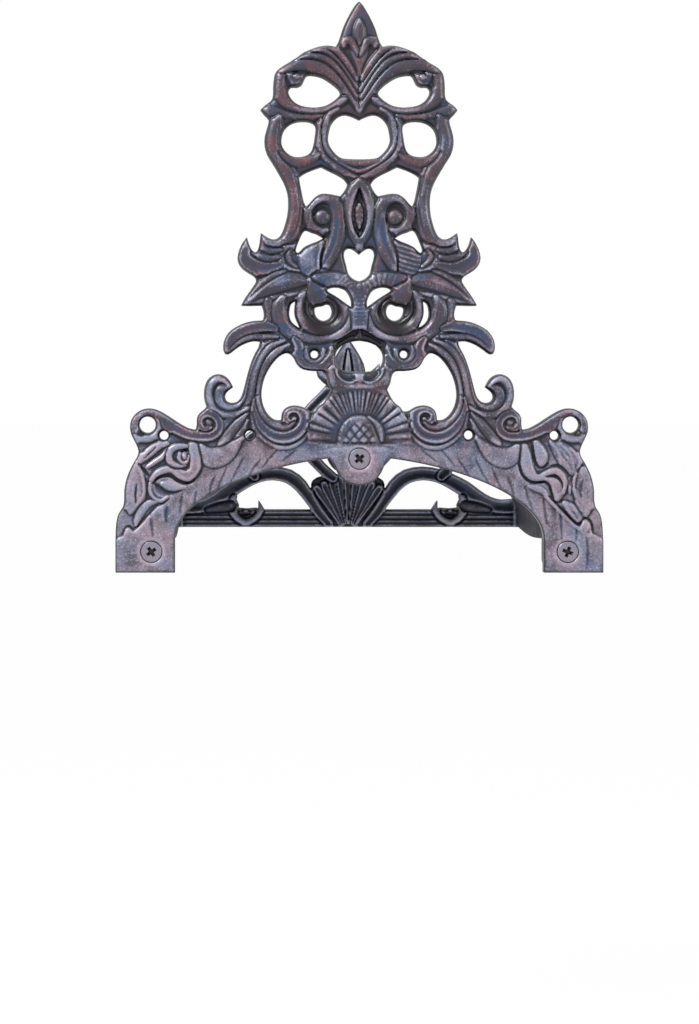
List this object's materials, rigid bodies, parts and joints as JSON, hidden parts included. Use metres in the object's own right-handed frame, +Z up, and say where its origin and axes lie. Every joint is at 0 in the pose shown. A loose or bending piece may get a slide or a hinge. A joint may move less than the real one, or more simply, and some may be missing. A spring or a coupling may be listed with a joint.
{
  "type": "wall-mounted hose holder",
  "caption": "Wall hose holder: a pierced scrollwork front casting and a low wall casting joined by an arched shelf that carries a coiled hose.",
  "frame": {"origin": "on the wall plane, which is the rear face of the wall casting, on the centre line, at mid height of the moulded bar", "axes": "+Y into the wall, -Y toward the viewer, +Z up along the finial, +X to the viewer's right"},
  "size_m": [0.291, 0.135, 0.3415],
  "materials": {
    "front_casting_iron": "antique bronze-brown patina over cast iron, rims rubbed to a pinkish grey, dark recesses, satin",
    "shelf_iron": "antique bronze-brown patina over cast iron, satin",
    "wall_casting_iron": "dark antique patina over cast iron, satin",
    "screw_steel": "countersunk steel screws in the castings' antique finish",
    "washer_steel": "antique finish, satin",
    "nut_steel": "antique finish, satin"
  },
  "bodies": {
    "root": {"front_casting": "front_casting_iron", "shelf": "shelf_iron", "wall_casting": "wall_casting_iron", "front_screw_left": "screw_steel", "front_screw_right": "screw_steel", "front_screw_crown": "screw_steel", "front_washer_left": "washer_steel", "front_washer_right": "washer_steel", "front_washer_crown": "washer_steel", "front_nut_left": "nut_steel", "front_nut_right": "nut_steel", "front_nut_crown": "nut_steel", "rear_screw_left": "screw_steel", "rear_screw_right": "screw_steel", "rear_screw_crown": "screw_steel", "rear_washer_left": "washer_steel", "rear_washer_right": "washer_steel", "rear_washer_crown": "washer_steel", "rear_nut_left": "nut_steel", "rear_nut_right": "nut_steel", "rear_nut_crown": "nut_steel"}
  },
  "joints": []
}
